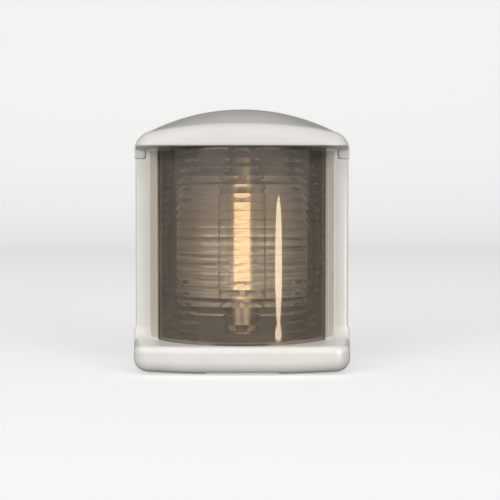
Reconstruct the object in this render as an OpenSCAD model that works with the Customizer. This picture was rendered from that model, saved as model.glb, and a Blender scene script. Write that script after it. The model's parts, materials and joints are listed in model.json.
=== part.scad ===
// Sector light for a wall: a tubular bulb between two contacts behind a cylindrical prism
// lens, in a housing of base, skirt with posts, and hinged top cap.
// The mounting plane is y = 0 and the front faces -Y; X runs across and Z up.
// The centre of the light is at z = 0. Pieces are drawn in place.

/* [Housing] */
// Width across the skirt at the bottom of the housing
skirt_w = 65; // [65:0.1:66]
// Width across the two front posts and side walls
frame_w = 64; // [63.8:0.1:64.2]
// Width of the top cap
cap_w = 64.5; // [64.4:0.1:64.8]
// Depth from the mounting plane to the front of skirt and cap
depth = 47.5; // [47:0.1:49]
// Height of the crown above the centre of the light
crown_z = 41; // [40.8:0.1:41.4]
// Depth of the skirt's underside below the centre of the light
foot_z = 36.2; // [36.2:0.1:37]
// Radius of the skirt and cap front in plan
front_r = 300; // [200:10:400]
// Angle by which skirt and cap narrow towards the front
draft = 4.7; // [4:0.1:5]
// Radius of the crown's arch seen from the front
arch_r = 62; // [60:1:66]

/* [Optics] */
// Outer radius of the cylindrical lens
lens_r = 26.5; // [26.3:0.1:26.6]
// Thinnest wall of the lens
lens_wall = 2; // [1.8:0.1:2.2]
// Half height of the lens that shows between skirt and cap
window_h = 28; // [27.5:0.1:28.2]
// Height of one prism ring
ring_pitch = 2.5; // [2.5:0.05:2.6]
// Half of the horizontal sector the light shows through
sector_half = 67.5; // [60:0.5:67.5]

/* [Bulb] */
// Diameter of the bulb's glass
bulb_d = 15; // [12:0.5:15]
// Half length of the bulb between its contact shoulders
bulb_half = 20.45; // [20.45:0.01:20.48]

/* [Mounting] */
// Distance between the two mounting screw holes
hole_pitch = 57; // [56:0.5:58]
// Radius of a mounting screw hole
hole_r = 2.25; // [2:0.05:2.4]
// Radius of the cable hole in the grommet
cable_r = 2.5; // [2:0.1:2.8]

/* [Hidden] */
$fn = 64;

gap = 0.05;                      // fit between neighbouring pieces
skirt_x = skirt_w / 2;           // half widths
frame_x = frame_w / 2;
cap_x = cap_w / 2;
wall = 2;                        // wall of skirt, posts and cap
roof_wall = 2.1;
back_y = -0.4;                   // back edges of skirt, posts and cap
bend_y = -22;                    // where the sides start to narrow
corner_r = 4;                    // plan corners of skirt and cap
edge_r = 2.4;                    // rounding between the cap's walls and its roof
post_y = -22.5;                  // front faces of the two posts

// Places: [x, y] for upright axes, [x, z] for those along Y, [y, z] for those along X
axis = [0, -18];                 // bulb and lens
rivet = [0, -7.7];               // contact rivets
cap_screw = [26, -13];
mount_hole = [0, hole_pitch / 2];
cable_entry = [0, -6];
terminal = [0, 13.2];            // terminal screws
stud = [18, 10];                 // reflector studs
hinge = [-4, crown_z - 4];
hinge_r = 1.2;                   // hinge bead

// ---------- helper shapes ----------
// Points along a circle, angle 0 towards the first axis and growing towards the second
function arc(x, y, r, from, to, steps) =
    [for (i = [0:steps]) let (angle = from + (to - from) * i / steps)
        [x + r * cos(angle), y + r * sin(angle)]];
// Points along a circle in plan, angle 0 towards -Y and growing towards +X
function front_arc(x, y, r, from, to, steps) =
    [for (i = [0:steps]) let (angle = from + (to - from) * i / steps)
        [x + r * sin(angle), y - r * cos(angle)]];
// Drop of a rounded edge at a distance inside it
function round_drop(inside, r) = inside >= r ? 0 : r - sqrt(r * r - pow(r - inside, 2));

// Ranges xs, ys and zs are [low, high]
module block(xs, ys, zs) {
    translate([xs[0], ys[0], zs[0]]) cube([xs[1] - xs[0], ys[1] - ys[0], zs[1] - zs[0]]);
}
// Block centred on x = 0
module slab(half, ys, zs) { block([-half, half], ys, zs); }
// Extrudes a drawing made in X and Z
module along_y(ys) {
    translate([0, ys[1], 0]) rotate([90, 0, 0]) linear_extrude(ys[1] - ys[0]) children();
}
// Extrudes a drawing made in Y and Z
module along_x(xs) {
    translate([xs[0], 0, 0]) rotate([90, 0, 90]) linear_extrude(xs[1] - xs[0]) children();
}
// Extrudes a drawing made in X and Y
module along_z(zs) { translate([0, 0, zs[0]]) linear_extrude(zs[1] - zs[0]) children(); }
module rod_x(at, r, xs) {
    translate([xs[0], at[0], at[1]]) rotate([0, 90, 0]) cylinder(r = r, h = xs[1] - xs[0]);
}
module rod_y(at, r, ys) {
    translate([at[0], ys[1], at[1]]) rotate([90, 0, 0]) cylinder(r = r, h = ys[1] - ys[0]);
}
module rod_z(at, r, zs) {
    translate([at[0], at[1], zs[0]]) cylinder(r = r, h = zs[1] - zs[0]);
}
// Turns a profile of [radius, height] around the lens axis, angles measured from the front
module around_axis(angles, z = 0) {
    translate([axis[0], axis[1], z]) rotate([0, 0, angles[0] - 90])
        rotate_extrude(angle = angles[1] - angles[0]) children();
}
module ring_part(radii, angles, zs) {
    around_axis(angles, zs[0])
        translate([radii[0], 0]) square([radii[1] - radii[0], zs[1] - zs[0]]);
}
module both_sides() {
    children();
    mirror([1, 0, 0]) children();
}
module flipped() { mirror([0, 0, 1]) children(); }
module up_down() {
    children();
    flipped() children();
}

// ---------- shared outlines ----------
level_y = -12;       // the roof is level behind this line
roof_fall = 0.0055;  // fall of the roof per squared distance in front of it
front_arch = 0.45;   // share of the arch left at the front
arch_run = 30;       // depth over which the arch becomes full
swing_r = 3.8;       // cap's back edge around the hinge
swing_y = 3.7;       // reach behind the hinge that the base stays clear of
swing_gap = 0.35;

// Centre of a plan corner, touching the narrowing side and the curved front
function corner_at(half, rounds, y) =
    let (x = half - (bend_y - y) * tan(draft) - corner_r / cos(draft))
    rounds == 0 ? [x, y]
        : corner_at(half, rounds - 1, -depth + front_r - sqrt(pow(front_r - corner_r, 2) - x * x));
// Plan of skirt and cap, drawn in by inset: curved front, round corners, narrowing sides
function plan(half, inset, back) =
    let (corner = corner_at(half, 4, -depth + corner_r),
         turn = asin(corner[0] / (front_r - corner_r)),
         front = front_arc(0, -depth + front_r, front_r - inset, turn, -turn, 20))
    concat([[half - inset, back], [half - inset, bend_y]],
           front_arc(corner[0], corner[1], corner_r - inset, 90 - draft, turn, 8),
           [for (i = [1:19]) front[i]],
           front_arc(-corner[0], corner[1], corner_r - inset, -turn, -90 + draft, 8),
           [[-half + inset, bend_y], [-half + inset, back]]);
// Fall of the crown's arch at x
function arch(x) = arch_r - sqrt(arch_r * arch_r - x * x);
// Roof height: rises from the front, and its arch deepens towards the back
function roof(x, y) = crown_z - roof_fall * pow(max(0, level_y - y), 2)
    - (front_arch + (1 - front_arch) * min(1, (y + depth) / arch_run)) * arch(x);
// Roof inside face at x, near the back
function roof_in(x) = crown_z - roof_wall - arch(x);
// Top edge of the base, low enough to stay clear of the roof as the cover swings
function base_top(x) = hinge[1] - swing_gap
    - max(swing_r, sqrt(swing_y * swing_y + pow(max(0, hinge[1] - roof_in(x)), 2)));

// ---------- base ----------
base_x = 29.4;          // half width
base_bottom = -33.6;
base_corner = 4;
base_ys = [-4.5, -1.5];
root_y = -4;            // start of the base's features, inside the plate
shelf_z = 22;           // inner face of the two bulb shelves
reflector_x = 21;       // half width of the flat part
reflector_h = 13.4;     // half height
reflector_ys = [-8.6, -8];

// Outline of the base in X and Z, drawn in by inset
function base_outline(inset) =
    let (x = base_x - base_corner, z = base_bottom + base_corner,
         r = base_corner - inset, half = base_x - inset)
    concat(arc(x, z, r, 0, -90, 3), arc(-x, z, r, 270, 180, 3),
           [for (i = [0:20]) let (x = -half + 2 * half * i / 20) [x, base_top(x) - inset]]);
module bulb_shelf() {
    slab(13.5, [-25, root_y], [shelf_z, shelf_z + 2.2]);
    // gussets
    both_sides() along_x([11.5, 13.4])
        polygon([[root_y, 10], [root_y, shelf_z + 0.5], [-16, shelf_z + 0.5], [-7, 14]]);
    // cheeks beside the bulb's end caps
    both_sides() block([5.4, 13.5], [-24.9, -9.4], [16, shelf_z + 0.5]);
}
module hinge_web(xs) {
    block(xs, [hinge[0] - 0.48, hinge[0] + 0.9], [hinge[1] - 5.5, hinge[1]]);
}
module base_plate() {
    color("dimgray") difference() {
        union() {
            along_y(base_ys) polygon(base_outline(0));
            up_down() bulb_shelf();
            // hinge bead on its three webs
            rod_x(hinge, hinge_r, [-13, 13]);
            hinge_web([-3.5, 3.5]);
            both_sides() hinge_web([10.5, 12.9]);
            // stepped studs for the reflector
            both_sides() up_down() {
                rod_y(stud, 2.4, [reflector_ys[1] + gap, root_y]);
                rod_y(stud, 1.1, [-9.6, root_y]);
            }
            // bosses of the terminal screws
            up_down() rod_y(terminal, 2.6, [-4.9, root_y]);
            // collar around the cable entry
            rod_y(cable_entry, 5.2, [-5.6, root_y]);
        }
        up_down() rod_y(mount_hole, hole_r, [-6, 1]);
        rod_y(cable_entry, 3.8, [-8, 1]);
        up_down() {
            rod_y(terminal, 1.3, [-8, -2.6]);
            rod_z(rivet, 1.22, [20, 26]);
        }
        // pocket that the latch hooks behind
        slab(9, [-3.2, 0], [base_bottom - 1, -31.8]);
    }
}
module mounting_gasket() {
    color("black") difference() {
        along_y([base_ys[1], 0]) polygon(base_outline(0.6));
        up_down() rod_y(mount_hole, hole_r, [-3, 1]);
        rod_y(cable_entry, 6.2, [-3, 1]);
        slab(9.6, [-3, 1], [base_bottom - 1, -31.4]);
    }
}
module base_seal() {
    color("darkslategray") difference() {
        along_y([-6.5, -4.52]) polygon(base_outline(0.25));
        along_y([-7, -4]) polygon(base_outline(2.2));
    }
}
// [radius, distance in front of the mounting plane], with a flange at each end
module cable_grommet() {
    color("black") translate([cable_entry[0], 0, cable_entry[1]]) rotate([90, 0, 0])
        rotate_extrude() polygon([
            [cable_r, 0.1], [5.6, 0.1], [5.6, 1.44], [3.75, 1.44],
            [3.75, 5.66], [4.9, 5.66], [4.4, 6.9], [cable_r, 6.9]]);
}
module reflector_plate() {
    color("silver") difference() {
        union() {
            slab(reflector_x, reflector_ys, [-reflector_h, reflector_h]);
            // sides folded forward, [x, y]
            both_sides() along_z([-reflector_h, reflector_h]) polygon([
                [reflector_x - 0.1, reflector_ys[1]], [reflector_x - 0.1, reflector_ys[0]],
                [23.6, -11.1], [24.0, -10.6], [reflector_x + 0.2, reflector_ys[1]]]);
        }
        both_sides() up_down() rod_y(stud, 1.2, [-10, -7]);
    }
}
module reflector_clips() {
    color("gainsboro") both_sides() up_down()
        translate([stud[0], reflector_ys[0] - 0.02, stud[1]]) rotate([90, 0, 0]) difference() {
            cylinder(r = 2.3, h = 0.5);
            translate([0, 0, -1]) cylinder(r = 1.15, h = 3);
        }
}

// ---------- contacts ----------
contact_x = 4;             // half width of brackets and blades
bracket_zs = [21.18, 21.98];
blade_zs = [20.5, 21.12];
blade_tip_y = -24.5;       // where the blade's prongs turn outwards
flex = [-10.4, 20.81];     // [y, z] where the contact leaves bend
tab_z = 11.4;              // inner ends of bracket and saddle

// Angle bracket from the terminal screw to the rivet
module bracket() {
    difference() {
        union() {
            slab(contact_x, [-10, -4.52], bracket_zs);
            slab(contact_x, [-5.7, -4.95], [tab_z, bracket_zs[1]]);
        }
        rod_z(rivet, 1.25, [20, 23]);
        rod_y(terminal, 1.35, [-7, -4]);
    }
}
module terminal_bracket_upper() { color("goldenrod") bracket(); }
module terminal_bracket_lower() { color("goldenrod") flipped() bracket(); }
module terminal_screws() {
    color("gold") up_down() difference() {
        union() {
            rod_y(terminal, 1.2, [-6.6, -2.9]);
            rod_y(terminal, 2.3, [-7.8, -6.55]);
        }
        slab(3, [-8, -7.2], [terminal[1] - 0.35, terminal[1] + 0.35]);
    }
}
module terminal_saddles() {
    color("khaki") up_down() difference() {
        slab(3, [-6.5, -5.75], [tab_z, 16.1]);
        rod_y(terminal, 1.35, [-8, -4]);
    }
}
module contact_rivets() {
    color("darkgoldenrod") up_down() {
        rod_z(rivet, 1.18, [20.1, 24.6]);
        rod_z(rivet, 2.1, [24.22, 24.7]);
        rod_z(rivet, 1.9, [19.85, 20.28]);
    }
}
// Leaf forked at the front, with a hole for the bulb's tip
module blade() {
    difference() {
        union() {
            slab(contact_x, [blade_tip_y, -5.9], blade_zs);
            // turned-out tips of the prongs
            both_sides() along_x([1.9, contact_x]) polygon([
                [blade_tip_y, blade_zs[0]], [blade_tip_y, blade_zs[1]], [-25.6, 21.9], [-25.9, 21.5]]);
            // rolled bead where the leaf bends
            rod_x(flex, 0.5, [-contact_x, contact_x]);
        }
        slab(1.6, [-27, axis[1]], [20, 22]);
        rod_z(axis, 1.6, [20, 22]);
        rod_z(rivet, 1.55, [20, 22]);
    }
}
module contact_blade_upper() { color("peru") blade(); }
module contact_blade_lower() { color("peru") flipped() blade(); }

// ---------- bulb ----------
glass_round = 3;     // rounding at the ends of the glass
glass_t = 0.6;
glass_z = 10.8;      // where the rounding starts
neck_r = 4.1;
neck_in = 3.4;
neck_z = 15.6;
cap_z = 14.6;        // open end of an end cap
coil_r = 2.6;        // filament coil, drawn as its envelope
coil_half = 10.5;

module bulb_glass() {
    x = bulb_d / 2 - glass_round;
    inner = glass_round - glass_t;
    color("lightcyan") translate([axis[0], axis[1], 0]) rotate_extrude() polygon(concat(
        [[neck_in, -neck_z], [neck_r, -neck_z], [neck_r, -cap_z]],
        arc(x, -glass_z, glass_round, -90, 0, 6),
        arc(x, glass_z, glass_round, 0, 90, 6),
        [[neck_r, cap_z], [neck_r, neck_z], [neck_in, neck_z], [neck_in, 13.9]],
        arc(x, glass_z, inner, 90, 0, 6),
        arc(x, -glass_z, inner, 0, -90, 6),
        [[neck_in, -13.9]]));
}
// [radius, z] of a cup with a tip
module end_cap() {
    translate([axis[0], axis[1], 0]) rotate_extrude() polygon([
        [4.13, cap_z], [4.3, cap_z], [4.3, 19.4], [3.2, bulb_half], [1.4, bulb_half],
        [1.4, 21.1], [0.7, 21.7], [0, 21.7], [0, 17], [4.13, 17]]);
}
module bulb_cap_upper() { color("silver") end_cap(); }
module bulb_cap_lower() { color("silver") flipped() end_cap(); }
module bulb_filament() { color("orange") rod_z(axis, coil_r, [-coil_half, coil_half]); }
module bulb_supports() {
    color("gray") up_down() {
        rod_z(axis, 0.3, [coil_half + 0.02, 16.8]);
        rod_z(axis, 1.5, [11.5, 13.5]);
    }
}

// ---------- lens ----------
lens_z = 29.4;        // half height
lens_angles = [-75, 75];
lens_focus = 85;      // distance behind the lens at which its rings focus
lens_index = 1.49;    // refractive index
ring_count = 11;      // prism rings in each half
ring_step = 0.12;     // height of the slanted step between two rings
seal_zs = [lens_z + gap, 30.3];
screen_z = 25.2;      // half height of the cutoff screens

// Slope of a prism face at height z, as radius over height
function ring_slope(z) =
    let (angle = atan(z / lens_focus)) sin(angle) / (lens_index - cos(angle));
module lens() {
    inner = lens_r - lens_wall;
    // [radius, z] of the prism faces from the middle upwards
    prisms = [for (k = [0:ring_count - 1], end = [0, 1]) end == 0
        ? [inner - ring_pitch * ring_slope(k * ring_pitch + ring_pitch / 2),
           k * ring_pitch + (k > 0 ? ring_step : 0)]
        : [inner, (k + 1) * ring_pitch]];
    last = len(prisms) - 1;
    color("tan") around_axis(lens_angles) polygon(concat(
        [[lens_r, -lens_z], [lens_r, lens_z], [inner, lens_z]],
        [for (i = [last:-1:0]) prisms[i]],
        [for (i = [1:last]) [prisms[i][0], -prisms[i][1]]],
        [[inner, -lens_z]]));
}
module lens_seal() { ring_part([24.6, 26.4], lens_angles, seal_zs); }
module lens_seal_upper() { color("black") lens_seal(); }
module lens_seal_lower() { color("black") flipped() lens_seal(); }
// Curved screen beside the sector, with a tail out to the side
module screen() {
    along_z([-screen_z, screen_z]) polygon(concat(
        front_arc(axis[0], axis[1], 22, sector_half, 97, 8),
        [[29.8, -12.8], [29.8, -11.4], [21, -13.4]],
        front_arc(axis[0], axis[1], 20.6, 98, sector_half, 8)));
}
module cutoff_screen_right() { color("black") screen(); }
module cutoff_screen_left() { color("black") mirror([1, 0, 0]) screen(); }

// ---------- front housing ----------
drum_r = 27.8;            // outside of the drum that frames the lens
floor_z = -34.3;          // inside of the skirt's floor
foot_r = 3.6;             // rounding under the skirt
recess_x = 10.4;          // half width of the recess under the skirt
ledge_radii = [22, 28.6]; // ledges that hold the lens above and below
ledge_angles = [-78, 78];
ledge_z = 31.6;
light_r = 24.2;           // opening through the ledges
seat_z = seal_zs[1] + gap;
flange_x = 30.06;         // half width of the flange
ear_z = window_h - 2.6;   // underside of the cap's ears

// Room for the lens, its seal and its light, in front of the posts' backs
module lens_pocket(zs, r) {
    intersection() {
        rod_z(axis, r, zs);
        slab(40, [-60, post_y + 2.3], [zs[0] - 1, zs[1] + 1]);
    }
}
module skirt_solid() {
    side_x = skirt_x - foot_r;
    side_z = -foot_z + 0.5 + foot_r;
    intersection() {
        translate([0, 0, -foot_z - 1]) linear_extrude(foot_z + 1 - window_h)
            polygon(plan(skirt_x, 0, back_y));
        along_y([-60, 0]) polygon(concat([[recess_x, -foot_z]],
            arc(side_x, side_z, foot_r, -90, 0, 8), [[skirt_x, 0], [-skirt_x, 0]],
            arc(-side_x, side_z, foot_r, 180, 270, 8), [[-recess_x, -foot_z]]));
        along_x([-40, 40]) polygon(concat(
            arc(-depth + foot_r, -foot_z + foot_r, foot_r, 180, 270, 8),
            [[0, -foot_z], [0, 0], [-depth + 1.8, -window_h],
             [-depth + 0.6, -window_h - 0.35], [-depth, -window_h - 1.4]]));
    }
}
// Tray with a ledge around the lens
module skirt() {
    difference() {
        skirt_solid();
        translate([0, 0, floor_z]) linear_extrude(-floor_z - window_h - 2.4)
            polygon(plan(skirt_x, wall, 5));
        slab(27.2, [post_y + 2, 1], [-window_h - 3, 0]);
    }
    ring_part(ledge_radii, ledge_angles, [-ledge_z, -window_h - 1]);
}
// Right side of the frame
module frame_side() {
    inner = frame_x - wall;
    // drum wall beside the window
    ring_part([25.5, drum_r], [sector_half, 83], [-window_h - 1.2, window_h + 0.1]);
    // post and side wall in one section
    translate([0, 0, -window_h - 1.6]) linear_extrude(2 * window_h + 1.8) polygon(concat(
        [[inner, back_y], [frame_x, back_y]],
        arc(frame_x - 1, post_y + 1, 1, 0, -90, 4),
        [[27.1, post_y], [27.1, post_y + wall], [inner, post_y + wall]]));
    // collar of the skirt beside the post
    block([inner + 0.1, skirt_x - 0.05], [post_y + 0.7, -0.6],
        [-window_h - 1.3, -window_h + 2.6]);
    // tab that the cap is screwed to
    block([21.5, frame_x - 1.2], [-17, -9], [window_h - 1.2, window_h + 2.3]);
}
// Frame that closes on the base seal and follows the inside of the roof
module flange() {
    along_y([-8.1, -6.6]) difference() {
        polygon(concat([[flange_x, floor_z - 0.2], [-flange_x, floor_z - 0.2]],
            [for (i = [0:30]) let (x = flange_x * sin(-90 + i * 6))
                [x, roof_in(x) - 0.35 - round_drop(cap_x - wall - abs(x), edge_r)]]));
        polygon(base_outline(3.4));
    }
}
module front_housing() {
    color("whitesmoke") difference() {
        union() {
            skirt();
            both_sides() frame_side();
            flange();
        }
        lens_pocket([-seat_z, window_h + 5], lens_r + gap);
        lens_pocket([-33, -20], light_r);
        // room for the base, its seal and its gasket beside the ledge
        slab(29.9, [-6.59, 1], [-window_h - 3.1, -window_h + 1]);
        // seat of the top cap
        both_sides() block([frame_x - 0.85, 36], [-60, 1], [ear_z - gap, window_h + 4]);
        // slot for the latch, with the recess under it
        slab(8.6, [-26.7, 1], [-foot_z - 1, floor_z + 0.3]);
        slab(recess_x, [-60, 1], [-foot_z - 1, -foot_z + 0.4]);
        slab(8.7, [-9, 1], [-foot_z - 2, -32]);
        // drain
        rod_z([0, -36], 1.2, [-foot_z - 2, -32]);
        both_sides() rod_z(cap_screw, 1.35, [window_h - 3, window_h + 4]);
    }
}

// ---------- top cap ----------
hook_xs = [5, 9];
ear_y = post_y - 0.3;    // front faces of the ears
// Distances behind the front wall at which the roof is drawn
roof_stations = [0, 0.12, 0.5, 1.1, 1.8, 2.4, 5, 8, 12, 16, 20, 25, 30];

// Closed solid under the roof, walls drawn in by inset and roof lowered by drop
module crown_solid(inset, drop, bottom, back) {
    half = cap_x - inset;
    front = -depth + inset;
    intersection() {
        translate([0, 0, bottom]) linear_extrude(60 - bottom) polygon(plan(cap_x, inset, back));
        along_y([-60, 6]) polygon(concat([[-half, bottom - 1], [half, bottom - 1]],
            [for (i = [12:-1:-12]) let (x = half * sin(i * 7.5))
                [x, crown_z - drop - arch(x) - round_drop(half - abs(x), edge_r)]]));
        along_x([-40, 40]) polygon(concat(
            [[6, crown_z - drop], [6, bottom - 1], [front, bottom - 1]],
            [for (behind = concat(roof_stations, [level_y - front]))
                [front + behind, roof(0, front + behind) - drop - round_drop(behind, edge_r)]]));
    }
}
module cap_shell() {
    difference() {
        crown_solid(0, 0, window_h - 4, back_y);
        crown_solid(wall, roof_wall, window_h + 2.3, 4);
        // everything under the band and between the ears
        slab(60, [-60, ear_y], [0, window_h + 0.25]);
        slab(frame_x + gap, [post_y - 0.31, post_y + 1.3], [0, window_h + 0.26]);
        slab(frame_x - 0.8, [post_y + 1.1, 1], [0, window_h + 0.27]);
        slab(30.1, [post_y + 2.5, 1], [0, window_h + 3]);
        slab(frame_x - 1.15, [-18, -8], [0, window_h + 2.45]);
        slab(60, [-60, 1], [0, ear_z]);
    }
}
// Front face of the right ear, over the post
module ear_face() {
    along_y([ear_y, post_y - gap]) polygon(concat(
        [[28.8, window_h + 0.3], [28.9, window_h - 1.4]],
        [for (i = [1:5]) [30.1 - 1.2 * cos(i * 18), window_h - 1.4 - 0.9 * sin(i * 18)]],
        [[cap_x - 0.1, ear_z + gap], [cap_x - 0.1, window_h + 1], [28.8, window_h + 1]]));
}
// Hook around the hinge bead
module hook() {
    rod_x(hinge, 2.5, hook_xs);
    block([hook_xs[0] + 0.02, hook_xs[1] - 0.02], [hinge[0] - 2.2, hinge[0] + 1.2],
        [hinge[1], hinge[1] + 2.6]);
}
module top_cap() {
    y = hinge[0];
    z = hinge[1];
    color("white") difference() {
        union() {
            cap_shell();
            both_sides() ear_face();
            // ceiling that holds the lens down
            ring_part(ledge_radii, ledge_angles, [window_h + 0.3, ledge_z]);
            // bosses for the cap screws
            both_sides() rod_z(cap_screw, 2.6, [window_h + 2.35, window_h + 5.6]);
            both_sides() hook();
        }
        lens_pocket([0, seat_z], lens_r + gap);
        lens_pocket([20, 32], light_r);
        rod_x(hinge, hinge_r + 0.07, [-13.6, 13.6]);
        // mouth of the hooks, where they lift off the bead
        along_x([-10, 10]) polygon([[y, z], [y - 0.9, z - 4], [y + 4, z - 4], [y + 4, z - 1.2]]);
        // rounded back edge, so that it turns clear of the mounting surface
        difference() {
            slab(40, [y, 2], [z - 0.2, 60]);
            rod_x(hinge, swing_r, [-41, 41]);
        }
        both_sides() rod_z(cap_screw, 1.0, [window_h, window_h + 4.8]);
    }
}
module cap_screws() {
    color("lightgray") both_sides() difference() {
        union() {
            rod_z(cap_screw, 0.97, [window_h - 2.2, window_h + 4.6]);
            rod_z(cap_screw, 2.2, [window_h - 2.6, window_h - 1.22]);
        }
        block([cap_screw[0] - 0.4, cap_screw[0] + 0.4], [-16, -10],
            [window_h - 2.8, window_h - 2.1]);
    }
}

// ---------- latch ----------
latch_x = 8;             // half width
latch_ys = [-2.9, -1.3]; // upright part at the back
latch_z = -32.9;         // top of the upright part

module latch_tab() {
    color("gainsboro") {
        slab(latch_x, [-26, latch_ys[1]], [-foot_z + 0.5, -34.6]);
        slab(latch_x, latch_ys, [-34.7, latch_z]);
        along_x([-latch_x, latch_x]) polygon([
            [latch_ys[0], latch_z], [latch_ys[1], latch_z - 0.4],
            [latch_ys[1], latch_z - 1], [latch_ys[0], latch_z - 1]]);
        // bead along the front edge
        rod_x([-26, -35.1], 0.6, [-latch_x, latch_x]);
        // low ribs
        both_sides() block([5.5, 6.3], [-14, -2.8], [-34.7, -34.2]);
    }
}

base_plate();
mounting_gasket();
base_seal();
cable_grommet();
reflector_plate();
reflector_clips();
terminal_bracket_upper();
terminal_bracket_lower();
terminal_screws();
terminal_saddles();
contact_rivets();
contact_blade_upper();
contact_blade_lower();
bulb_glass();
bulb_cap_upper();
bulb_cap_lower();
bulb_filament();
bulb_supports();
lens();
lens_seal_upper();
lens_seal_lower();
front_housing();
top_cap();
cap_screws();
cutoff_screen_left();
cutoff_screen_right();
latch_tab();
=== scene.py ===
"""A lamp: a tubular bulb behind a curved prismatic lens, in a white cover on a base plate.

The front faces -Y, +X is to the right seen from the front and +Z is up. The back of the
cover lies near y = 0, and the upright axis shared by lens and bulb crosses x = 0, z = 0.
Shapes are worked out in millimetres and stored in metres.
"""
import functools
import json
import math

import bmesh
import bpy
import numpy as np
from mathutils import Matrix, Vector

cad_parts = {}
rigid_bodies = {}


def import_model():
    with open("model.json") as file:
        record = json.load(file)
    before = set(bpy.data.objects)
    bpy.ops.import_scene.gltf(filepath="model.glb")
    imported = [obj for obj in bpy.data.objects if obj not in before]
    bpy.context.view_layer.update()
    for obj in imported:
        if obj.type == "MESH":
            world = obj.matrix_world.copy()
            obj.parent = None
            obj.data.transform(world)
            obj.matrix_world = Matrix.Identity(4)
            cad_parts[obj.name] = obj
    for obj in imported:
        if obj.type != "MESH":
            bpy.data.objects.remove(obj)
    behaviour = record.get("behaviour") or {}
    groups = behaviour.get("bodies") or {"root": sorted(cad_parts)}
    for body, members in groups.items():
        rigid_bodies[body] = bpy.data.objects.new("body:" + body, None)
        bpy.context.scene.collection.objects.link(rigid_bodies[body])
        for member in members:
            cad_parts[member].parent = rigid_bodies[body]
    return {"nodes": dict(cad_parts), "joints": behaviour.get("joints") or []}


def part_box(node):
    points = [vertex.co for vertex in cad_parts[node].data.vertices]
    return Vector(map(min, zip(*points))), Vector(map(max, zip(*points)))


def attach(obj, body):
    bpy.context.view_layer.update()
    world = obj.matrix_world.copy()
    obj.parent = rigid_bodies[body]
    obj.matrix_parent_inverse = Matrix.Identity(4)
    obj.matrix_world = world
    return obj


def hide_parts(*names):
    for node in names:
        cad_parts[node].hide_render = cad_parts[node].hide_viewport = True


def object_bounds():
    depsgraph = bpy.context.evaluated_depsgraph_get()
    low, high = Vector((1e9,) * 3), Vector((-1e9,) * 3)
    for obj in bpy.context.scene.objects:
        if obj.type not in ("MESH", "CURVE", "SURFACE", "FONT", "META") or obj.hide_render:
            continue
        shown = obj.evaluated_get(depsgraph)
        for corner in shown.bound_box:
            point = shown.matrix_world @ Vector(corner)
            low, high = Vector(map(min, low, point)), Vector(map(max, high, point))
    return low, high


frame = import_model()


def plain(bounds):
    return [[float(v) for v in corner] for corner in bounds]


cad_bounds = plain(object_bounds())
MM = 0.001

# ---------------------------------------------------------------- shared dimensions, mm
cap_low, cap_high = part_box("top_cap")
housing_low, housing_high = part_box("front_housing")
cover_joint = [j for j in frame["joints"] if j["name"] == "cover_open"][0]
PIVOT_Y, PIVOT_Z = [v / MM for v in cover_joint["pos_m"]][1:]
CAP_HALF = cap_high[0] / MM         # half widths
SKIRT_HALF = housing_high[0] / MM
DEPTH = -cap_low[1] / MM            # from y = 0 to the front
CROWN = cap_high[2] / MM            # top of the cap
FOOT = -housing_low[2] / MM         # depth of the underside below z = 0

AXIS_Y = -18.0                      # axis of lens and bulb
LENS_R = 26.5
WINDOW = 28.0                       # half height of the window
WALL = 2.0
BACK_Y = -0.4                       # open back of both shells
POST_Y = -22.5                      # front face of the side posts
FRONT_R = 300.0                     # bow of the front, in plan
CORNER_R = 4.0
BEND_Y = -22.0                      # forward of this the sides taper
BEND_OVERLAP = 1.5
TAPER = math.radians(4.7)
TAPER_TAN, TAPER_COS = math.tan(TAPER), math.cos(TAPER)

ARCH_R, ARCH_REACH = 62.0, 40       # arch of the roof, and where it stops growing
ROOF_FALL, ROOF_FALL_Y = 0.0055, -12  # the roof falls by the square of the way forward
HINGE_R = 3.8                       # round of the cap about the pivot

SCREW_X, SCREW_Y = 26, -13
RAIL_IN, RAIL_OUT = 22.0, 28.6      # curved rails at both ends of the lens
RAIL_BACK, RAIL_END = -23.0, 31.6
POCKET_GAP, POCKET_END = 0.06, 30.35  # seat of the lens in the rails
BORE_R, BORE_BACK = 24.2, -20.2     # clear bore behind the lens


# ---------------------------------------------------------------- implicit solids
# A solid is a field that is negative inside, so "v - high" and "low - v" are half spaces.
def meet(*fields):
    return functools.reduce(np.maximum, fields)


def join(*fields):
    return functools.reduce(np.minimum, fields)


def cut(body, *tools):
    return meet(body, *[-tool for tool in tools])


def meet_round(a, b, radius):
    corner = np.hypot(np.maximum(a + radius, 0), np.maximum(b + radius, 0))
    return np.minimum(-radius, np.maximum(a, b)) + corner


def join_round(a, b, radius):
    return -meet_round(-a, -b, radius)


def slab(value, centre, half):
    return np.abs(value - centre) - half


def ease(value, start, length):
    """Smooth rise from 0 at start to 1 at start + length; a negative length runs downward."""
    t = np.clip((value - start) / length, 0, 1)
    return t * t * (3 - 2 * t)


def outline(x, y, half_width):
    """Plan of a shell: straight sides that taper to the front, and a bowed front."""
    across = np.abs(x)
    straight = across - half_width
    taper = (across - (half_width - (BEND_Y - y) * TAPER_TAN)) * TAPER_COS
    side = np.where(y > BEND_Y + BEND_OVERLAP, straight, np.maximum(straight, taper))
    front = np.hypot(x, y - (-DEPTH + FRONT_R)) - FRONT_R
    return meet_round(side, front, CORNER_R)


def arch_root(x):
    return np.sqrt(ARCH_R ** 2 - np.minimum(np.abs(x), ARCH_REACH) ** 2)


def arch_share(y):
    """Share of the arch that the roof follows; it is flatter at the front."""
    return 0.45 + 0.55 * ease(y, -DEPTH, 18)


def roof_forward(y):
    return np.maximum(0, ROOF_FALL_Y - y)


def roof(x, y):
    arch = arch_share(y) * (ARCH_R - arch_root(x))
    return CROWN - ROOF_FALL * roof_forward(y) ** 2 - arch - 0.22 - 0.3 * ease(y, -14, 9)


def roof_inside(x):
    return CROWN - 2.1 - (ARCH_R - arch_root(x))


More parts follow.
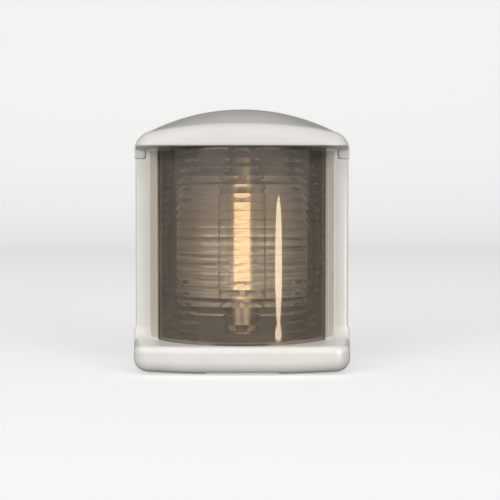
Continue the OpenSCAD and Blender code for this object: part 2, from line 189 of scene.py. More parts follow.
def base_top(x):
    """Top edge of the base, clear of the hinge round."""
    rise = np.maximum(0, PIVOT_Z - roof_inside(x))
    return PIVOT_Z - np.maximum(HINGE_R, np.sqrt(3.7 ** 2 + rise ** 2)) - 0.35


def lens_rail(radius, y, height, low):
    """Rail round the lens axis; height runs outward from mid lens, up or down."""
    return meet(radius - RAIL_OUT, RAIL_IN - radius, y - RAIL_BACK, low - height,
                height - RAIL_END)


def lens_pockets(radius, y, height, bore_end):
    """Seat for the lens, and the bore inside it."""
    front = y - BORE_BACK
    return (meet(radius - LENS_R - POCKET_GAP, height - POCKET_END, front),
            meet(radius - BORE_R, height - bore_end, front))


# ---------------------------------------------------------------- top cap
CAP_LIP = WINDOW + 0.25             # lower edge
CAVITY_X, CAVITY_Y = 30.15, -20.0   # deeper hollow at the back
EAR_X, EAR_LOW, EAR_HIGH = 28.85, 25.45, 29.2
EAR_FRONT = POST_Y - 0.32
EAR_ROUND = 0.3
SLOT_X, SLOT_Y = 31.2, POST_Y + 0.75  # room for the post inside the ear
SLOT_TOP = WINDOW + 0.26
STEP_X, STEP_Y = 28.8, POST_Y - 0.3   # narrower step ahead of that room
BOSS_R, BOSS_LOW, BOSS_HIGH = 2.6, 30.4, 33.6
BOSS_HOLE_R, BOSS_HOLE_TOP = 1.0, 32.8
HOOK_X, HOOK_HALF, HOOK_R = 7, 2, 2.5
STEM_Y, STEM_HALF, STEM_RISE = -0.5, 1.7, 2.6  # hook stem, from the pivot
PIN_R, PIN_HALF = 1.28, 13.6        # bore through the hooks
MOUTH_HALF, MOUTH_DEPTH = 9.6, 4.2  # opening of the hooks


def cap_shape(x, y, z):
    """Top cap with its rail, side ears, screw bosses and hinge hooks."""
    across = np.abs(x)
    back, up = y - PIVOT_Y, z - PIVOT_Z
    radius = np.hypot(x, y - AXIS_Y)
    screw = np.hypot(across - SCREW_X, y - SCREW_Y)
    pivot = np.hypot(back, up)
    plan = outline(x, y, CAP_HALF)

    # height above the roof, divided by its slope to give a near distance
    slope = arch_share(y) * across / arch_root(x)
    fall = 2 * ROOF_FALL * roof_forward(y)
    above = (z - roof(x, y)) / np.sqrt(1 + slope ** 2 + fall ** 2)

    # the roof edge is tight along the front and wide along the sides
    outer = meet_round(plan, above + 0.05, 2.7 + 1.2 * ease(across, 15, 14))
    inner = meet_round(plan + WALL, above + WALL - 0.5 * ease(y, -15, 6), 1.5)
    hinge_round = np.where(y > PIVOT_Y, pivot - HINGE_R, -99.0)
    rear = np.where(z > PIVOT_Z, hinge_round, y - BACK_Y - 0.2 * ease(up, -3, 3))
    body = meet(meet_round(outer, CAP_LIP - z, 0.45), rear)
    body = cut(body, meet_round(inner, POCKET_END - z, 0.5),
               meet(across - CAVITY_X, CAVITY_Y - y, inner))
    body = join(body, lens_rail(radius, y, z, low=28.6))

    # ears over the posts
    ear = meet_round(EAR_X - across, EAR_LOW - z, 1.1)
    ear = meet_round(meet_round(ear, plan, EAR_ROUND), EAR_FRONT - y, EAR_ROUND)
    post_room = meet(SLOT_Y - y, across - SLOT_X)
    ear = cut(meet(ear, y - BACK_Y, z - EAR_HIGH), post_room)
    body = join_round(body, ear, 0.35)
    body = cut(body, meet(z - SLOT_TOP, post_room),
               meet(z - SLOT_TOP, across - STEP_X, STEP_Y - y))

    boss = meet(screw - BOSS_R, BOSS_LOW - z, z - BOSS_HIGH)
    stem = meet(slab(back, STEM_Y, STEM_HALF), -up, up - STEM_RISE)
    hook = meet(slab(across, HOOK_X, HOOK_HALF), join(pivot - HOOK_R, stem))
    # slanted opening below the pin bore
    mouth = meet(across - MOUTH_HALF, -0.976 * back + 0.22 * up, up + 0.3 * back,
                 -MOUTH_DEPTH - up)
    return cut(join(body, boss, hook), meet(screw - BOSS_HOLE_R, z - BOSS_HOLE_TOP),
               meet(pivot - PIN_R, across - PIN_HALF), mouth,
               *lens_pockets(radius, y, z, bore_end=32))


# ---------------------------------------------------------------- front housing
NOTCH_HALF = 10.4                   # notch across the underside
FLOOR_IN, CEILING_IN = -34.3, -30.4  # hollow of the skirt
POST_IN, POST_OUT, POST_SWELL = 27.05, 32.0, 0.46
POST_LOW, POST_HIGH = -31.0, 28.2
POST_HOLLOW_X, POST_HOLLOW_Y = 30.0, POST_Y + 2.0
LEDGE_OPEN_X, LEDGE_OPEN_Z = 27.2, -WINDOW - 3.0
DRUM_R, DRUM_HALF = 27.19, 0.61     # curved walls beside the lens
DRUM_FROM, DRUM_TO = 67.5, 84       # degrees round from the front
DRUM_DEG_MM = 0.47                  # arc length of one degree
DRUM_LOW, DRUM_HIGH = -30.0, 28.15
FLANGE_Y, FLANGE_HALF, FLANGE_X, FLANGE_LOW = -7.35, 0.75, 30.06, -34.6
FRAME_X, FRAME_LOW, FRAME_DROP = 26.0, -30.2, 3.4  # opening in the flange


def housing_shape(x, y, z):
    """Skirt under the window, side posts, drum walls, back flange and screw tabs."""
    across = np.abs(x)
    radius = np.hypot(x, y - AXIS_Y)
    angle = np.degrees(np.arctan2(across, -(y - AXIS_Y)))
    screw = np.hypot(across - SCREW_X, y - SCREW_Y)
    plan = outline(x, y, SKIRT_HALF)
    rear = y - BACK_Y

    bottom = -FOOT + 0.55 * ease(across, NOTCH_HALF, 22) - z
    ledge = z + WINDOW + 0.012 * np.maximum(0, -22 - y)
    skirt = meet(meet_round(meet_round(plan, bottom, 3.7), ledge, 1.9), rear)
    hollow = meet_round(meet_round(plan + WALL, FLOOR_IN - z, 1.6), z - CEILING_IN, 0.5)
    skirt = cut(skirt, hollow,
                meet(across - LEDGE_OPEN_X, POST_HOLLOW_Y - y, LEDGE_OPEN_Z - z))
    skirt = join(skirt, lens_rail(radius, y, -z, low=29.2))

    # posts, a little wider near their feet
    post_side = POST_OUT + POST_SWELL * ease(z, -24.7, -1.1)
    post = meet(meet_round(across - post_side, POST_Y - y, 1.0), POST_IN - across, rear)
    post = cut(post, meet(across - POST_HOLLOW_X, POST_HOLLOW_Y - y))
    post = meet(post, z - POST_HIGH, POST_LOW - z)
    body = meet(join_round(skirt, post, 3.2), plan, rear)

    drum = meet(slab(radius, DRUM_R, DRUM_HALF), (DRUM_FROM - angle) * DRUM_DEG_MM,
                (angle - DRUM_TO) * DRUM_DEG_MM, z - DRUM_HIGH, DRUM_LOW - z)
    body = join_round(body, drum, 0.35)
    # room for the flange through the ledge
    body = cut(body, meet(across - 29.9, -6.59 - y, z + WINDOW - 1, -z - 31.1))

    flange_plan = meet_round(across - FLANGE_X, z - roof_inside(x) + 0.7, 3.8)
    flange = meet(slab(y, FLANGE_Y, FLANGE_HALF), flange_plan, FLANGE_LOW - z)
    flange = cut(flange, meet(across - FRAME_X, FRAME_LOW - z,
                              z - base_top(x) + FRAME_DROP))
    tab = meet(slab(across, 26.1, 4.6), slab(y, SCREW_Y, 4.0), slab(z, 28.55, 1.75))
    pocket, bore = lens_pockets(radius, y, -z, bore_end=33.0)
    return cut(
        join(body, flange, tab),
        meet(31.12 - across, 25.33 - z),                        # beside the cap ears
        meet(28.78 - across, 25.38 - z, y - POST_Y - 0.8),      # ahead of the posts
        pocket,
        meet(bore, z + 20),
        meet_round(across - NOTCH_HALF, z + FOOT - 0.45, 0.3),  # underside notch
        meet(across - 8.6, -26.7 - y, z + 34.0),                # opening in the underside
        meet(across - 8.7, -9.0 - y, z + 32.0),                 # opening at the back
        meet(np.hypot(x, y + 36) - 1.2, z + 32.0),              # hole near the front
        meet(screw - 1.35, 25.0 - z))                           # screw holes in the tabs


# ---------------------------------------------------------------- mesh tools
SLICE = 16          # grid layers evaluated at once
PROBE = 0.02        # half step of the gradient, mm
PULL_ROUNDS = 4


def pull_to_surface(field, points, cell):
    """Moves points onto field = 0 by short steps along the gradient."""
    for _ in range(PULL_ROUNDS):
        value = field(*points.T)
        gradient = np.stack([field(*(points + shift).T) - field(*(points - shift).T)
                             for shift in PROBE * np.eye(3)], 1) / (2 * PROBE)
        steepness = np.maximum((gradient ** 2).sum(1), 0.25)
        step = -(value / steepness)[:, None] * gradient
        length = np.linalg.norm(step, axis=1, keepdims=True)
        points += step * np.minimum(1, 0.3 * cell / np.maximum(length, 1e-9))
    return points


def trace_surface(field, low, high, cell):
    """Closed quad mesh of field = 0: a point per crossed cell, a quad per crossed edge."""
    counts = [int(math.ceil((b - a) / cell)) + 1 for a, b in zip(low, high)]
    axes = [low[i] + cell * np.arange(counts[i], dtype=np.float64) for i in range(3)]
    values = np.empty(counts, np.float32)
    for k in range(0, counts[0], SLICE):
        grid = np.meshgrid(axes[0][k:k + SLICE], axes[1], axes[2], indexing="ij")
        values[k:k + SLICE] = field(*grid)
    values[np.abs(values) < 1e-6] = 1e-6
    inside = values < 0

    cells = [count - 1 for count in counts]
    total = np.zeros((math.prod(cells), 3), np.float32)
    hits = np.zeros(math.prod(cells), np.float32)
    quads = []
    for a in range(3):
        b, c = (a + 1) % 3, (a + 2) % 3
        near = [slice(None)] * 3
        far = [slice(None)] * 3
        near[a] = slice(0, -1)
        far[a] = slice(1, None)
        start = np.argwhere(inside[tuple(near)] != inside[tuple(far)])
        start = start[(start[:, b] > 0) & (start[:, c] > 0)
                      & (start[:, b] < counts[b] - 1) & (start[:, c] < counts[c] - 1)]
        end = start.copy()
        end[:, a] += 1
        value0 = values[tuple(start.T)]
        value1 = values[tuple(end.T)]
        crossing = start.astype(np.float32)
        crossing[:, a] += value0 / (value0 - value1)
        ring = []
        for shift_b, shift_c in ((0, 0), (-1, 0), (-1, -1), (0, -1)):
            corner = start.copy()
            corner[:, b] += shift_b
            corner[:, c] += shift_c
            flat = np.ravel_multi_index(corner.T, cells)
            np.add.at(hits, flat, 1)
            np.add.at(total, flat, crossing)
            ring.append(flat)
        ring = np.stack(ring, 1)
        entering = value0 >= 0
        ring[entering] = ring[entering][:, ::-1]
        quads.append(ring)

    used = np.flatnonzero(hits > 0)
    renumber = np.full(hits.size, -1, np.int64)
    renumber[used] = np.arange(len(used))
    points = total[used] / hits[used][:, None]
    points = points.astype(np.float64) * cell + np.array(low)
    return pull_to_surface(field, points, cell), renumber[np.concatenate(quads)]


def add_mesh(name, points, faces):
    """Smooth-shaded object from points in mm; faces are a quad array or a list of lists."""
    mesh = bpy.data.meshes.new(name)
    points = np.asarray(points, np.float64) * MM
    if isinstance(faces, np.ndarray):
        sides = faces.shape[1]
        mesh.vertices.add(len(points))
        mesh.vertices.foreach_set("co", points.reshape(-1))
        mesh.loops.add(faces.size)
        mesh.loops.foreach_set("vertex_index", faces.reshape(-1).astype(np.int32))
        mesh.polygons.add(len(faces))
        starts = (np.arange(len(faces)) * sides).astype(np.int32)
        mesh.polygons.foreach_set("loop_start", starts)
        mesh.polygons.foreach_set("loop_total", np.full(len(faces), sides, np.int32))
        mesh.update(calc_edges=True)
    else:
        mesh.from_pydata([tuple(p) for p in points], [], faces)
    mesh.validate()
    mesh.polygons.foreach_set("use_smooth", np.ones(len(mesh.polygons), bool))
    mesh.update()
    obj = bpy.data.objects.new(name, mesh)
    bpy.context.scene.collection.objects.link(obj)
    return obj


def skin(rings, size, closed):
    """Quads between successive rings of points, with end faces if the run is open."""
    faces = []
    for i in range(rings if closed else rings - 1):
        j = (i + 1) % rings
        for k in range(size):
            m = (k + 1) % size
            faces.append([i * size + k, i * size + m, j * size + m, j * size + k])
    if not closed:
        faces.append(list(range(size - 1, -1, -1)))
        faces.append([(rings - 1) * size + k for k in range(size)])
    return faces


def revolve(name, profile, start, end, steps):
    """Turns a closed (radius, z) profile about the lens axis; 0 degrees is the front."""
    closed = abs(end - start) >= 360
    rings = steps if closed else steps + 1
    points = []
    for i in range(rings):
        angle = math.radians(start + (end - start) * i / steps)
        for r, z in profile:
            points.append((r * math.sin(angle), AXIS_Y - r * math.cos(angle), z))
    return add_mesh(name, points, skin(rings, len(profile), closed))


def tube(name, path, radius, sides):
    """Round wire along a path that never runs upright."""
    along = np.gradient(path, axis=0)
    along /= np.linalg.norm(along, axis=1, keepdims=True)
    level = np.cross(along, np.array([0.0, 0.0, 1.0]))
    level /= np.linalg.norm(level, axis=1, keepdims=True)
    normal = np.cross(along, level)
    points = []
    for i in range(len(path)):
        for k in range(sides):
            a = 2 * math.pi * k / sides
            points.append(path[i] + radius * (math.cos(a) * level[i] + math.sin(a) * normal[i]))
    return add_mesh(name, points, skin(len(path), sides, False))


def mark_sharp(obj, degrees):
    """Turns the faces outward and marks edges that bend more than the angle."""
    shape = bmesh.new()
    shape.from_mesh(obj.data)
    bmesh.ops.recalc_face_normals(shape, faces=shape.faces)
    for edge in shape.edges:
        if len(edge.link_faces) == 2 and edge.calc_face_angle(0) > math.radians(degrees):
            edge.smooth = False
    shape.to_mesh(obj.data)
    shape.free()


# ---------------------------------------------------------------- shader tools
def put(tree, socket, value):
    """Links an output socket to an input, or stores a plain value in it."""
    if isinstance(value, bpy.types.NodeSocket):
        tree.links.new(value, socket)
    else:
        socket.default_value = value


def node(tree, kind, *slots, **settings):
    """Adds a node. Settings name inputs (_ for a space) or attributes; slots go by number."""
    made = tree.nodes.new("ShaderNode" + kind)
    for key, value in settings.items():
        label = key.replace("_", " ")
        if label in made.inputs.keys():
            put(tree, made.inputs[label], value)
        else:
            setattr(made, key, value)
    for i, value in enumerate(slots):
        put(tree, made.inputs[i], value)
    return made


def remap(tree, value, start=0.0, end=1.0, low=0.0, high=1.0):
    """Maps start..end to low..high."""
    return node(tree, "MapRange", Value=value, From_Min=start, From_Max=end,
                To_Min=low, To_Max=high).outputs["Result"]


def calc(tree, operation, *values):
    return node(tree, "Math", *values, operation=operation).outputs[0]


def mix_colors(tree, factor, first, second):
    mix = node(tree, "Mix", factor, data_type="RGBA")
    put(tree, mix.inputs[6], first)
    put(tree, mix.inputs[7], second)
    return mix.outputs[2]


def mix_shaders(tree, factor, first, second):
    return node(tree, "MixShader", factor, first, second).outputs[0]


def object_coords(tree):
    return node(tree, "TexCoord").outputs["Object"]


def noise(tree, coords, **settings):
    return node(tree, "TexNoise", Vector=coords, **settings).outputs["Fac"]


def new_material(name):
    material = bpy.data.materials.new(name)
    material.use_nodes = True
    material.node_tree.nodes.clear()
    return material, material.node_tree


def output(tree, surface):
    node(tree, "OutputMaterial", Surface=surface)


# ---------------------------------------------------------------- materials
BUMP_DEPTH = 0.0001     # metres


def solid(name, color, rough, grain, bump, vary, rough_vary=0.1, metal=0.0, wear=0.0,
          wear_color=None, stretch=None, coat=0.0, round_edge=0.0):
    """Opaque surface: grain is the fine noise scale, round_edge a shaded edge radius in mm."""
    material, tree = new_material(name)
    coords = object_coords(tree)
    fine_coords = coords
    if stretch:
        fine_coords = node(tree, "Mapping", Scale=stretch, Vector=coords).outputs["Vector"]
    broad = noise(tree, coords, Scale=90.0, Detail=4.0, Roughness=0.55)
    fine = noise(tree, fine_coords, Scale=grain, Detail=3.0, Roughness=0.6)

    dark = [max(0, c * (1 - vary * 1.6)) for c in color] + [1]
    dark[2] *= 1 - vary * 0.5       # the dark patches lean to yellow
    light = [min(1, c * (1 + vary)) for c in color] + [1]
    base = mix_colors(tree, remap(tree, broad, 0.3, 0.7), dark, light)
    if wear > 0:
        # convex edges are worn in grains
        edges = remap(tree, node(tree, "NewGeometry").outputs["Pointiness"], 0.52, 0.62)
        worn = calc(tree, "MULTIPLY", calc(tree, "MULTIPLY", edges, fine), wear)
        base = mix_colors(tree, worn, base, (*wear_color, 1))

    relief = node(tree, "Bump", Strength=bump, Distance=BUMP_DEPTH, Height=fine)
    if round_edge:
        bevel = node(tree, "Bevel", Radius=round_edge * MM)
        put(tree, relief.inputs["Normal"], bevel.outputs["Normal"])
    roughness = remap(tree, broad, low=max(0.02, rough - rough_vary),
                      high=min(1, rough + rough_vary))
    shader = node(tree, "BsdfPrincipled", Metallic=metal, Coat_Weight=coat, Base_Color=base,
                  Roughness=roughness, Normal=relief.outputs["Normal"])
    output(tree, shader.outputs[0])
    return material


def clear(name, tint, shadow_tint, ior, rough, grain, bump, haze=0.0):
    """Clear plastic or glass that lets shadow and diffuse rays straight through."""
    material, tree = new_material(name)
    ripple = noise(tree, object_coords(tree), Scale=grain, Detail=2.0)
    relief = node(tree, "Bump", Strength=bump, Distance=BUMP_DEPTH, Height=ripple)
    body = node(tree, "BsdfPrincipled", IOR=ior, Base_Color=(*tint, 1),
                Transmission_Weight=1.0, Normal=relief.outputs["Normal"],
                Roughness=remap(tree, ripple, low=rough * 0.5, high=rough * 1.6)).outputs[0]
    if haze:
        # a share of blurred refraction, then a thin milky layer
        blurred = node(tree, "BsdfRefraction", IOR=ior, Roughness=0.3, Color=(*tint, 1))
        body = mix_shaders(tree, 0.14, body, blurred.outputs[0])
        milk = node(tree, "BsdfDiffuse", Color=(0.88, 0.80, 0.69, 1))
        amount = remap(tree, ripple, low=haze * 0.6, high=haze * 1.4)
        body = mix_shaders(tree, amount, body, milk.outputs[0])
    rays = node(tree, "LightPath").outputs
    soft_ray = calc(tree, "MAXIMUM", rays["Is Shadow Ray"], rays["Is Diffuse Ray"])
    through = node(tree, "BsdfTransparent", Color=(*shadow_tint, 1))
    output(tree, mix_shaders(tree, soft_ray, body, through.outputs[0]))
    return material


def overlay(material, factor, color):
    """Mixes a color over the base color of a solid."""
    tree = material.node_tree
    shader = next(n for n in tree.nodes if n.type == "BSDF_PRINCIPLED")
    base = shader.inputs["Base Color"]
    put(tree, base, mix_colors(tree, factor, base.links[0].from_socket, (*color, 1)))


def paint_drum_shade(material, color):
    """Paints shade, with a yellow cast, on the sideways-facing drum walls, found by distance
    from the lens axis and by height.
    """
    tree = material.node_tree
    coords = object_coords(tree)
    level = node(tree, "Mapping", Location=(0, -AXIS_Y * MM, 0), Scale=(1, 1, 0),
                 Vector=coords).outputs["Vector"]
    radius = node(tree, "VectorMath", level, operation="LENGTH").outputs["Value"]
    offset = calc(tree, "ABSOLUTE", calc(tree, "SUBTRACT", radius, 27.3 * MM))
    in_wall = remap(tree, offset, 0.75 * MM, 0.62 * MM)
    height = node(tree, "SeparateXYZ", coords).outputs["Z"]
    in_window = remap(tree, calc(tree, "ABSOLUTE", height), 28.0 * MM, 27.3 * MM)
    overlay(material, calc(tree, "MULTIPLY", in_wall, in_window), color)


def paint_lower_shade(material, amount, color):
    """Paints shade on the part below z = 0, in uneven level bands."""
    tree = material.node_tree
    coords = object_coords(tree)
    flat = node(tree, "Mapping", Scale=(40, 40, 420), Vector=coords).outputs["Vector"]
    bands = noise(tree, flat, Scale=1.0, Detail=3.0, Distortion=1.2)
    height = node(tree, "SeparateXYZ", coords).outputs["Z"]
    below = remap(tree, height, 0.0, -1.6 * MM)
    patches = calc(tree, "MULTIPLY", below, remap(tree, bands, 0.35, 0.62))
    overlay(material, calc(tree, "MULTIPLY", patches, amount), color)


def glowing(name):
    """Warm emission over a metallic wire."""
    material, tree = new_material(name)
    speckle = noise(tree, object_coords(tree), Scale=900.0, Detail=2.0)
    glow = node(tree, "Emission", Color=(1.0, 0.70, 0.40, 1),
                Strength=remap(tree, speckle, low=1.15, high=1.9))
    metal = node(tree, "BsdfPrincipled", Metallic=1.0, Roughness=0.4,
                 Base_Color=(0.4, 0.36, 0.33, 1))
    output(tree, node(tree, "AddShader", glow.outputs[0], metal.outputs[0]).outputs[0])
    return material


white_look = dict(color=(0.80, 0.785, 0.76), rough=0.34, grain=3200, bump=0.10, vary=0.02,
                  rough_vary=0.07, wear=0.25, wear_color=(0.9, 0.89, 0.87), coat=0.15)
WHITE = solid("white_plastic", **white_look)
WHITE_LATCH = solid("white_plastic_latch", round_edge=0.35, **white_look)
WHITE_HOUSING = solid("white_plastic_housing", **white_look)
# painted shade on the drum walls beside the window
paint_drum_shade(WHITE_HOUSING, color=(0.52, 0.48, 0.41))
BASE = solid("base_plastic", color=(0.05, 0.049, 0.047), round_edge=0.3, rough=0.55,
             grain=1800, bump=0.25, vary=0.25, rough_vary=0.15, wear=0.4,
             wear_color=(0.16, 0.155, 0.15))
SCREEN = solid("screen_plastic", color=(0.03, 0.027, 0.024), round_edge=0.2, rough=0.7,
               grain=1500, bump=0.3, vary=0.25, wear=0.3, wear_color=(0.1, 0.1, 0.1))
FOAM = solid("foam_rubber", color=(0.06, 0.06, 0.062), rough=0.9, grain=1400, bump=0.9,
             vary=0.35)
RUBBER = solid("seal_rubber", color=(0.025, 0.025, 0.027), rough=0.62, grain=2200, bump=0.2,
               vary=0.2, wear=0.2, wear_color=(0.09, 0.09, 0.09))
REFLECTOR = solid("reflector_metal", color=(0.80, 0.77, 0.72), round_edge=0.15, rough=0.36,
                  metal=0.85, grain=700, bump=0.18, vary=0.06, stretch=(1, 1, 14))
# painted shade on the lower half of the reflector
paint_lower_shade(REFLECTOR, amount=0.8, color=(0.10, 0.085, 0.07))
STEEL = solid("clip_steel", color=(0.62, 0.62, 0.63), round_edge=0.12, rough=0.3, metal=1.0,
              grain=1600, bump=0.15, vary=0.06)
BRASS = solid("contact_brass", color=(0.70, 0.53, 0.27), round_edge=0.12, rough=0.32,
              metal=1.0, grain=900, bump=0.15, vary=0.12, stretch=(1, 8, 1), wear=0.4,
              wear_color=(0.9, 0.78, 0.5))
SCREW_BRASS = solid("screw_brass", color=(0.72, 0.56, 0.28), round_edge=0.15, rough=0.28,
                    metal=1.0, grain=1800, bump=0.15, vary=0.1, wear=0.4,
                    wear_color=(0.9, 0.8, 0.55))
CAP_METAL = solid("cap_metal", color=(0.30, 0.28, 0.25), round_edge=0.15, rough=0.45,
                  metal=1.0, grain=1400, bump=0.12, vary=0.07, wear=0.3,
                  wear_color=(0.95, 0.93, 0.9))
WIRE = solid("filament_wire", color=(0.5, 0.48, 0.46), rough=0.35, metal=1.0, grain=1200,
             bump=0.1, vary=0.1)
LENS_INDEX = 1.49
LENS = clear("lens_plastic", tint=(0.76, 0.70, 0.62), shadow_tint=(0.62, 0.56, 0.49),
             ior=LENS_INDEX, rough=0.055, grain=250, bump=0.03, haze=0.07)
GLASS = clear("bulb_glass_clear", tint=(0.97, 0.97, 0.96), shadow_tint=(0.93, 0.93, 0.92),
              ior=1.47, rough=0.01, grain=180, bump=0.04)
GLOW = glowing("filament_glow")

# CAD pieces that keep their shape
for piece, material in {
    "base_plate": BASE, "mounting_gasket": FOAM, "base_seal": RUBBER,
    "cable_grommet": RUBBER, "reflector_plate": REFLECTOR, "reflector_clips": STEEL,
    "terminal_bracket_upper": BRASS, "terminal_bracket_lower": BRASS,
    "terminal_screws": SCREW_BRASS, "terminal_saddles": BRASS,
    "contact_rivets": SCREW_BRASS, "contact_blade_upper": BRASS,
    "contact_blade_lower": BRASS, "bulb_cap_upper": CAP_METAL,
    "bulb_cap_lower": CAP_METAL, "bulb_supports": WIRE, "lens_seal_upper": RUBBER,
    "lens_seal_lower": RUBBER, "cap_screws": STEEL, "cutoff_screen_left": SCREEN,
    "cutoff_screen_right": SCREEN, "latch_tab": WHITE_LATCH,
}.items():
    obj = frame["nodes"][piece]
    if not obj.material_slots:
        obj.data.materials.append(material)
    for slot in obj.material_slots:
        slot.material = material


def fit(obj, material, group, piece):
    """Gives a new mesh its material and puts it in the place of a CAD piece."""
    obj.data.materials.append(material)
    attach(obj, group)
    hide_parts(piece)


# ---------------------------------------------------------------- white shells
CAP_CELL, HOUSING_CELL = ((0.4, 0.42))
cap = add_mesh("cap_shell", *trace_surface(
    cap_shape, (-33.1, -48.3, 24.3), (33.1, 0.6, 41.9), CAP_CELL))
fit(cap, WHITE, "cover", "top_cap")
housing = add_mesh("housing_shell", *trace_surface(
    housing_shape, (-33.3, -48.3, -37.2), (33.3, 0.6, 39.6), HOUSING_CELL))
fit(housing, WHITE_HOUSING, "cover", "front_housing")

# ---------------------------------------------------------------- lens
LENS_BACK_R = LENS_R - WALL
LENS_END, LENS_BEVEL = 29.4, 0.25
PRISM_PITCH, PRISM_COUNT = 2.5, 11
FOCUS = 85.0
LENS_SPAN = 75              # degrees to each side of the front
# points of one prism: share of the pitch, sag inward, lift
PRISM_POINTS = [(0, 0, 0.07), (0.25, 0.12, 0.03), (0.5, 0.16, 0.02), (0.75, 0.12, 0.01),
                (1, 0, -0.02)]


def prism_slope(z):
    """Slope that bends a level ray toward the focus."""
    turn = math.atan(z / FOCUS)
    return math.sin(turn) / (LENS_INDEX - math.cos(turn))


def lens_profile():
    half = []
    for k in range(PRISM_COUNT):
        z0 = k * PRISM_PITCH
        rise = PRISM_PITCH * prism_slope(z0 + PRISM_PITCH / 2)
        for share, sag, lift in PRISM_POINTS:
            if k == 0 and share == 0:
                lift = 0
            half.append((LENS_BACK_R - rise + share * rise - sag,
                         z0 + share * PRISM_PITCH + lift))
    upper = [(LENS_BACK_R, LENS_END)] + half[::-1]
    lower = [(r, -z) for r, z in half[1:]] + [(LENS_BACK_R, -LENS_END)]
    straight = LENS_END - LENS_BEVEL
    face = [(LENS_R, -straight + 2 * straight * i / 24) for i in range(25)]
    ends = [(LENS_R - LENS_BEVEL, z) for z in (-LENS_END, LENS_END)]
    return [ends[0]] + face + [ends[1]] + upper + lower


lens = revolve("fresnel_lens", lens_profile(), -LENS_SPAN, LENS_SPAN, 150)
mark_sharp(lens, 14)
fit(lens, LENS, "cover", "lens")

# ---------------------------------------------------------------- bulb
BULB_R, SHOULDER_R, SHOULDER_Z = 7.5, 3.4, 11.0
GLASS_WALL, NECK_IN, NECK_Z = 0.75, 3.5, 14.9


def bulb_profile():
    upper = [(3.55, 15.6), (4.05, 15.55), (4.1, NECK_Z)]
    for i in range(13):
        a = math.radians(90 - i * 7.5)
        upper.append((BULB_R - SHOULDER_R + SHOULDER_R * math.cos(a),
                      SHOULDER_Z + SHOULDER_R * math.sin(a)))
    outer = upper + [(r, -z) for r, z in upper[::-1]]
    inner = [(max(NECK_IN, r - GLASS_WALL) if abs(z) < NECK_Z else NECK_IN, z * 0.985)
             for r, z in outer]
    return outer + inner[::-1]


glass = revolve("bulb_glass_tube", bulb_profile(), 0, 360, 72)
mark_sharp(glass, 40)
fit(glass, GLASS, "bulb", "bulb_glass")

COIL_R, COIL_WIRE_R, COIL_PITCH, COIL_HALF, COIL_Z = 2.35, 0.24, 0.75, 10.2, -0.2
COIL_LEAD = 0.8             # turns over which the ends close in


def coil_path():
    turns = 2 * COIL_HALF / COIL_PITCH
    t = np.linspace(0, 1, int(turns * 22))
    radius = COIL_R * np.minimum(1, np.minimum(t, 1 - t) * turns / COIL_LEAD + 0.03)
    angle = 2 * np.pi * turns * t
    return np.stack([radius * np.cos(angle), AXIS_Y + radius * np.sin(angle),
                     COIL_Z - COIL_HALF + 2 * COIL_HALF * t], 1)


coil = tube("filament_coil", coil_path(), COIL_WIRE_R, 7)
fit(coil, GLOW, "bulb", "bulb_filament")

# ---------------------------------------------------------------- floor
FLOOR_REACH = 12000
SWEEP_Y, SWEEP_R, FLOOR_TOP = 900, 500, 2600  # curve up to the back wall
FLOOR_GAP = 0.3


def floor_material(name, seen, bounce, lift):
    """Matt floor; camera rays see it lighter than the light it throws back."""
    material, tree = new_material(name)
    pale = node(tree, "BsdfDiffuse", Color=(seen, seen, seen, 1))
    dim = node(tree, "BsdfDiffuse", Color=(bounce, bounce, bounce, 1))
    glow = node(tree, "Emission", Strength=lift)
    lifted = node(tree, "AddShader", pale.outputs[0], glow.outputs[0])
    camera_ray = node(tree, "LightPath").outputs["Is Camera Ray"]
    output(tree, mix_shaders(tree, camera_ray, dim.outputs[0], lifted.outputs[0]))
    return material


def build_floor():
    ground = cad_bounds[0][2] / MM - FLOOR_GAP
    profile = [(-FLOOR_REACH, 0)]
    for degrees in range(0, 91, 6):
        a = math.radians(degrees)
        profile.append((SWEEP_Y + SWEEP_R * math.sin(a), SWEEP_R - SWEEP_R * math.cos(a)))
    profile.append((SWEEP_Y + SWEEP_R, FLOOR_TOP))
    points = [(x, y, ground + z) for y, z in profile for x in (-FLOOR_REACH, FLOOR_REACH)]
    faces = [[2 * i, 2 * i + 1, 2 * i + 3, 2 * i + 2] for i in range(len(profile) - 1)]
    floor = add_mesh("floor", points, faces)
    floor.data.materials.append(floor_material("pale_floor", seen=0.8, bounce=0.2, lift=0.47))


build_floor()


# ---------------------------------------------------------------- world and lights, metres
def build_world():
    """Even grey to the camera; for light, brighter near the horizon than overhead."""
    world = bpy.data.worlds.new("studio")
    bpy.context.scene.world = world
    world.use_nodes = True
    tree = world.node_tree
    tree.nodes.clear()
    direction = node(tree, "TexCoord").outputs["Generated"]
    height = node(tree, "SeparateXYZ", direction).outputs["Z"]
    shade = remap(tree, height, start=-0.1, end=0.9, low=0.8, high=0.3)
    light = node(tree, "Background", Strength=1.0, Color=shade)
    seen = node(tree, "Background", Strength=1.0, Color=(0.8, 0.8, 0.8, 1))
    camera_ray = node(tree, "LightPath").outputs["Is Camera Ray"]
    sky = mix_shaders(tree, camera_ray, light.outputs[0], seen.outputs[0])
    node(tree, "OutputWorld", Surface=sky)


def aim(obj, target):
    way = Vector(target) - Vector(obj.location)
    obj.rotation_euler = way.to_track_quat("-Z", "Y").to_euler()


def area(name, place, target, size, power, color, shape="RECTANGLE"):
    light = bpy.data.lights.new(name, "AREA")
    light.shape = shape
    light.size, light.size_y = size
    light.energy = power
    light.color = color
    obj = bpy.data.objects.new(name, light)
    obj.location = place
    aim(obj, target)
    bpy.context.scene.collection.objects.link(obj)
    return obj


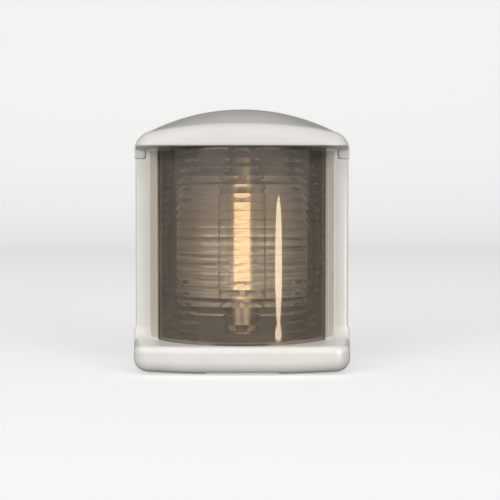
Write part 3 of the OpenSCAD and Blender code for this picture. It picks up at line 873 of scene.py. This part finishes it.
def build_lights():
    soft_white = (1.0, 0.985, 0.96)
    area("key_left", place=(-0.7, -0.95, 0.16), target=(0, -0.02, 0), size=(0.8, 0.7),
         power=8.6, color=soft_white)
    area("fill_right", place=(0.7, -0.95, 0.14), target=(0, -0.02, 0), size=(0.7, 0.7),
         power=7.0, color=soft_white)
    # soft light on the ledge under the window; it reaches the housing alone
    ledge = area("ledge_fill", place=(0, -0.10, 0.50), target=(0, -0.035, -0.028),
                 size=(0.3, 0.3), power=0.9, color=(1.0, 0.99, 0.97))
    only = bpy.data.collections.new("ledge_fill_receivers")
    only.objects.link(housing)
    ledge.light_linking.receiver_collection = only
    ledge.light_linking.blocker_collection = only
    for obj in bpy.context.scene.objects:
        if obj.type == "LIGHT":
            obj.visible_glossy = False


def build_streaks():
    """Narrow lights whose reflection stands on the right of the lens."""
    angle = math.radians(23.1)      # of the reflection, round from the front
    spot = Vector((LENS_R * math.sin(angle), AXIS_Y - LENS_R * math.cos(angle), 0)) * MM
    source = spot + Vector((0.742, -0.670, 0)) * 0.075
    # name, height, size, power
    for name, z, size, power in (("streak", -0.0085, (0.0145, 0.0470), 0.034),
                                 ("streak_foot", -0.0329, (0.0140, 0.0058), 0.0040)):
        strip = area(name, (source.x, source.y, z), (spot.x, spot.y, z), size, power,
                     color=(1.0, 0.80, 0.55), shape="ELLIPSE")
        strip.visible_camera = False
        strip.visible_diffuse = False
        strip.visible_transmission = False


def build_camera():
    camera = bpy.data.objects.new("camera", bpy.data.cameras.new("camera"))
    camera.data.lens = 87.4
    camera.data.sensor_width = 36
    camera.data.clip_start = 0.01
    camera.data.clip_end = 20
    camera.data.shift_x = 0.016
    camera.data.shift_y = -0.0074
    camera.location = (0, -0.387, 0.012)
    aim(camera, (0, -0.0445, 0))
    bpy.context.scene.collection.objects.link(camera)
    bpy.context.scene.camera = camera


build_world()
build_lights()
build_streaks()
build_camera()
bpy.context.scene.view_settings.view_transform = "Standard"
bpy.context.scene.view_settings.look = "None"

bpy.context.view_layer.update()
